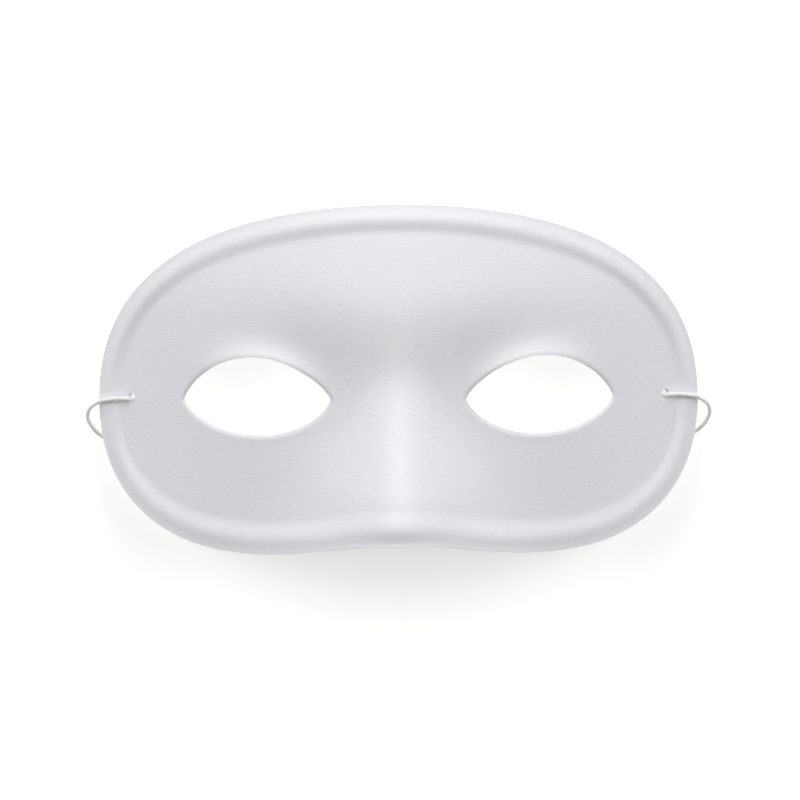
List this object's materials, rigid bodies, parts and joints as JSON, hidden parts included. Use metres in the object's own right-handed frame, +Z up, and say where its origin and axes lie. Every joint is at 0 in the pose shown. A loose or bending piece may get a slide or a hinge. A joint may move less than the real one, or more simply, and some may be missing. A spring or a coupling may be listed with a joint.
{
  "type": "costume eye mask",
  "caption": "Cloth-covered moulded half mask with two almond eye holes, a rolled rim and a thin round elastic tied at both sides.",
  "frame": {"origin": "centre of the mask's footprint, at the level of the surface it lies on", "axes": "+X across the mask towards the wearer's left, +Y towards the forehead, +Z up through the nose, with the mask lying face up"},
  "size_m": [0.172, 0.0955, 0.0692],
  "materials": {
    "cloth": "matte white woven cloth laminated over a moulded base",
    "elastic": "matte white braided cover"
  },
  "bodies": {
    "root": {"mask_shell": "cloth", "elastic_tie_left": "elastic", "elastic_run": "elastic", "elastic_tie_right": "elastic", "elastic_knot_left": "elastic", "elastic_knot_right": "elastic"}
  },
  "joints": []
}
